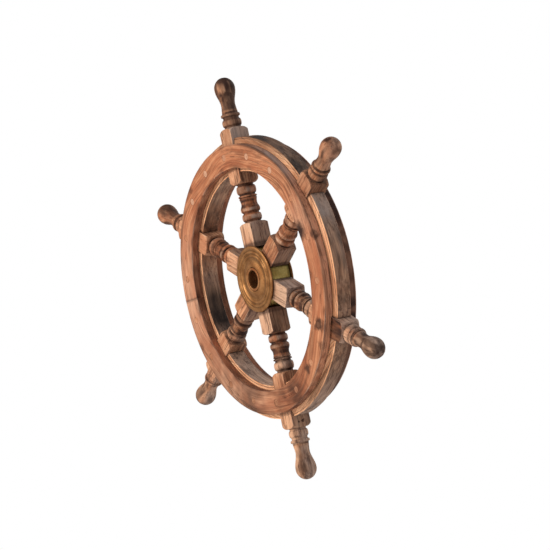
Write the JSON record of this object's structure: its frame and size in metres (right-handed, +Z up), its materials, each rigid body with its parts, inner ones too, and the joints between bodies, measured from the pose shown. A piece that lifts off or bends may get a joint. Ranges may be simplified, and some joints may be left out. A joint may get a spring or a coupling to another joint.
{
  "type": "ship steering wheel",
  "caption": "Wooden ship steering wheel with turned spokes and handles, a three-layer pegged rim and a ridged brass hub that turns on a brass axle sleeve.",
  "frame": {"origin": "centre of the hub, on the axle line and midway through the rim's thickness", "axes": "+Y along the axle towards the back, so the front faces -Y; +Z up along one spoke; +X to the right seen from the front"},
  "size_m": [0.5322, 0.054, 0.61],
  "materials": {
    "spoke_wood": "turned hardwood, worn, dark scorched grooves",
    "ring_wood": "worn orange-brown hardwood with long grain",
    "felloe_wood": "worn grey-brown hardwood with long grain",
    "peg_wood": "pale end grain",
    "core_wood": "plain, hidden inside the hub",
    "hub_brass": "aged turned brass",
    "sleeve_brass": "aged turned brass"
  },
  "bodies": {
    "axle_sleeve": {"axle_sleeve": "sleeve_brass"},
    "wheel": {"hub_core": "core_wood", "hub_barrel": "hub_brass", "hub_front_plate": "hub_brass", "hub_back_plate": "hub_brass", "spoke_1": "spoke_wood", "spoke_2": "spoke_wood", "spoke_3": "spoke_wood", "spoke_4": "spoke_wood", "spoke_5": "spoke_wood", "spoke_6": "spoke_wood", "felloe_1": "felloe_wood", "felloe_2": "felloe_wood", "felloe_3": "felloe_wood", "felloe_4": "felloe_wood", "felloe_5": "felloe_wood", "felloe_6": "felloe_wood", "front_ring_1": "ring_wood", "front_ring_2": "ring_wood", "front_ring_3": "ring_wood", "front_ring_4": "ring_wood", "front_ring_5": "ring_wood", "front_ring_6": "ring_wood", "back_ring_1": "ring_wood", "back_ring_2": "ring_wood", "back_ring_3": "ring_wood", "back_ring_4": "ring_wood", "back_ring_5": "ring_wood", "back_ring_6": "ring_wood", "peg_1": "peg_wood", "peg_2": "peg_wood", "peg_3": "peg_wood", "peg_4": "peg_wood", "peg_5": "peg_wood", "peg_6": "peg_wood", "peg_7": "peg_wood", "peg_8": "peg_wood", "peg_9": "peg_wood", "peg_10": "peg_wood", "peg_11": "peg_wood", "peg_12": "peg_wood", "peg_13": "peg_wood", "peg_14": "peg_wood", "peg_15": "peg_wood", "peg_16": "peg_wood", "peg_17": "peg_wood", "peg_18": "peg_wood"}
  },
  "joints": [
    {"name": "wheel_spin", "type": "hinge", "parent": "axle_sleeve", "child": "wheel", "pos_m": [0, 0, 0], "axis": [0, 1, 0], "continuous": true}
  ]
}
